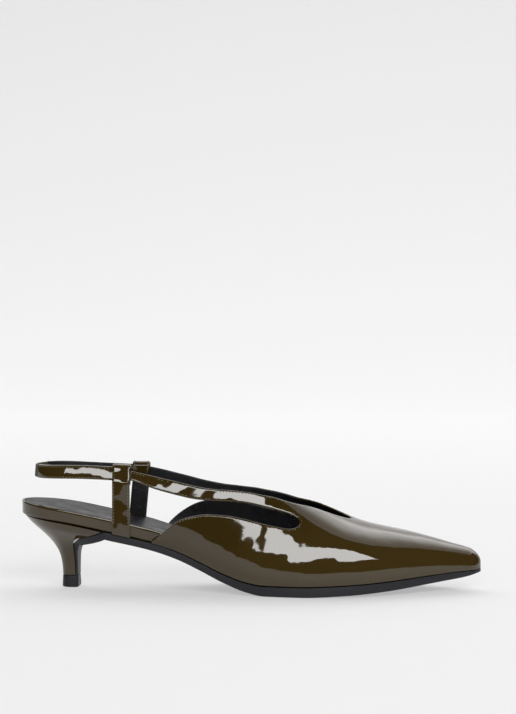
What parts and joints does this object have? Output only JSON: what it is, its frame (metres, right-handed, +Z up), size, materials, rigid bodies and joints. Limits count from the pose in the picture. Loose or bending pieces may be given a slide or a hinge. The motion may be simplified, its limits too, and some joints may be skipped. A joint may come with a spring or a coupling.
{
  "type": "slingback pump",
  "caption": "Slingback pump with a pointed toe, V-shaped throat, slotted sides, covered heel straps and a low curved stem heel.",
  "frame": {"origin": "on the floor, below the middle of the shoe's box", "axes": "+Z up, +X from heel to toe, +Y to the inner (medial) side of the right foot"},
  "size_m": [0.262, 0.0768, 0.0726],
  "materials": {
    "olive_patent": "patent, high gloss",
    "black_sole": "satin",
    "black_lining": "matt"
  },
  "bodies": {
    "root": {"outsole": "black_sole", "heel": "olive_patent", "top_lift": "black_sole", "insole_board": "olive_patent", "insole": "black_lining", "upper": "olive_patent", "sling_strap_lateral": "olive_patent", "sling_strap_medial": "olive_patent", "sling_elastic": "olive_patent", "stay_strap_lateral": "olive_patent", "stay_strap_medial": "olive_patent"}
  },
  "joints": []
}
